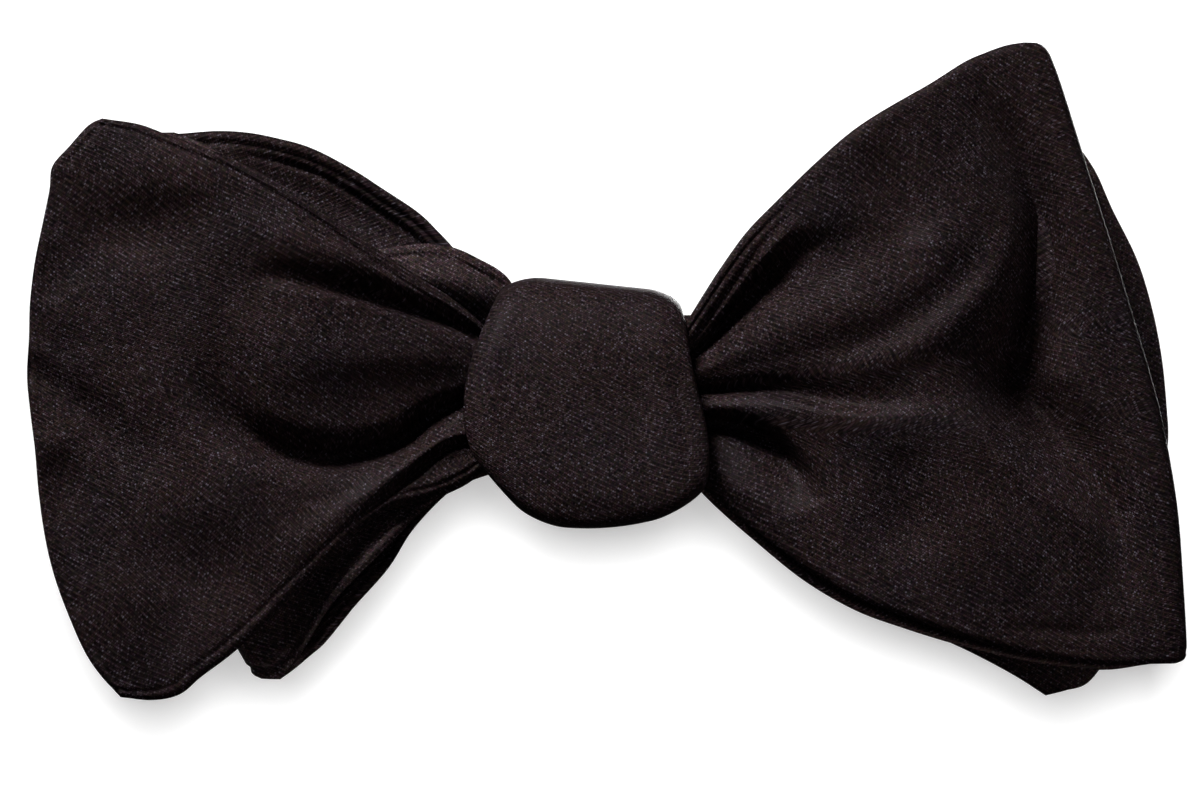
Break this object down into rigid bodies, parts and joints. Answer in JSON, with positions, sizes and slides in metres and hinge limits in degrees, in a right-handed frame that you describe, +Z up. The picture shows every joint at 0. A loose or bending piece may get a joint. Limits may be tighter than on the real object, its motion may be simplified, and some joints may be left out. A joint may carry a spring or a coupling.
{
  "type": "bow tie",
  "caption": "Hand-tied butterfly bow tie in dark satin: folded loops and blade ends gathered by a wrapped knot, on an adjustable neckband with a hook, an eye and a slider.",
  "frame": {"origin": "middle of the space that the neck fills, at the height of the knot's middle", "axes": "+Z up along the neck, -Y out of the front of the bow, +X to the right of somebody who faces the bow"},
  "size_m": [0.1185, 0.1529, 0.0666],
  "materials": {
    "satin": "brown-black silk satin with a fine diagonal weave and a soft cool sheen",
    "satin_reverse": "the same satin on the inner and rear faces",
    "interlining_canvas": "undyed woven canvas, hidden between the cloths",
    "thread": "black polyester sewing thread",
    "nickel_plate": "polished nickel plate on stamped steel"
  },
  "bodies": {
    "tie": {"front_left_blade_face": "satin", "front_right_loop_outer_cloth": "satin", "rear_left_loop_outer_cloth": "satin", "rear_right_blade_face": "satin", "front_bow_gather": "satin", "rear_bow_gather": "satin", "knot_wrap": "satin", "neckband_left_outer_cloth": "satin", "neckband_right_outer_cloth": "satin", "strap_main_run": "satin", "strap_tail_run": "satin", "eye_tab": "satin", "front_left_blade_back": "satin_reverse", "front_right_loop_inner_cloth": "satin_reverse", "rear_left_loop_inner_cloth": "satin_reverse", "rear_right_blade_back": "satin_reverse", "knot_lining": "satin_reverse", "neckband_left_inner_cloth": "satin_reverse", "neckband_right_inner_cloth": "satin_reverse", "front_left_blade_interlining": "interlining_canvas", "front_right_loop_interlining": "interlining_canvas", "rear_left_loop_interlining": "interlining_canvas", "rear_right_blade_interlining": "interlining_canvas", "neckband_left_interlining": "interlining_canvas", "neckband_right_interlining": "interlining_canvas", "eye_tab_bar_tack": "thread", "band_end_bar_tack": "thread", "eye": "nickel_plate"},
    "hook": {"hook": "nickel_plate", "strap_fold": "satin"},
    "slider": {"size_slider": "nickel_plate"}
  },
  "joints": [
    {"name": "clasp_release", "type": "slide", "parent": "tie", "child": "hook", "axis": [1, 0, 0], "range_m": [0, 0.0038]},
    {"name": "size_adjust", "type": "slide", "parent": "tie", "child": "slider", "axis": [0, 1, 0], "range_m": [-0.016, 0.016]}
  ]
}
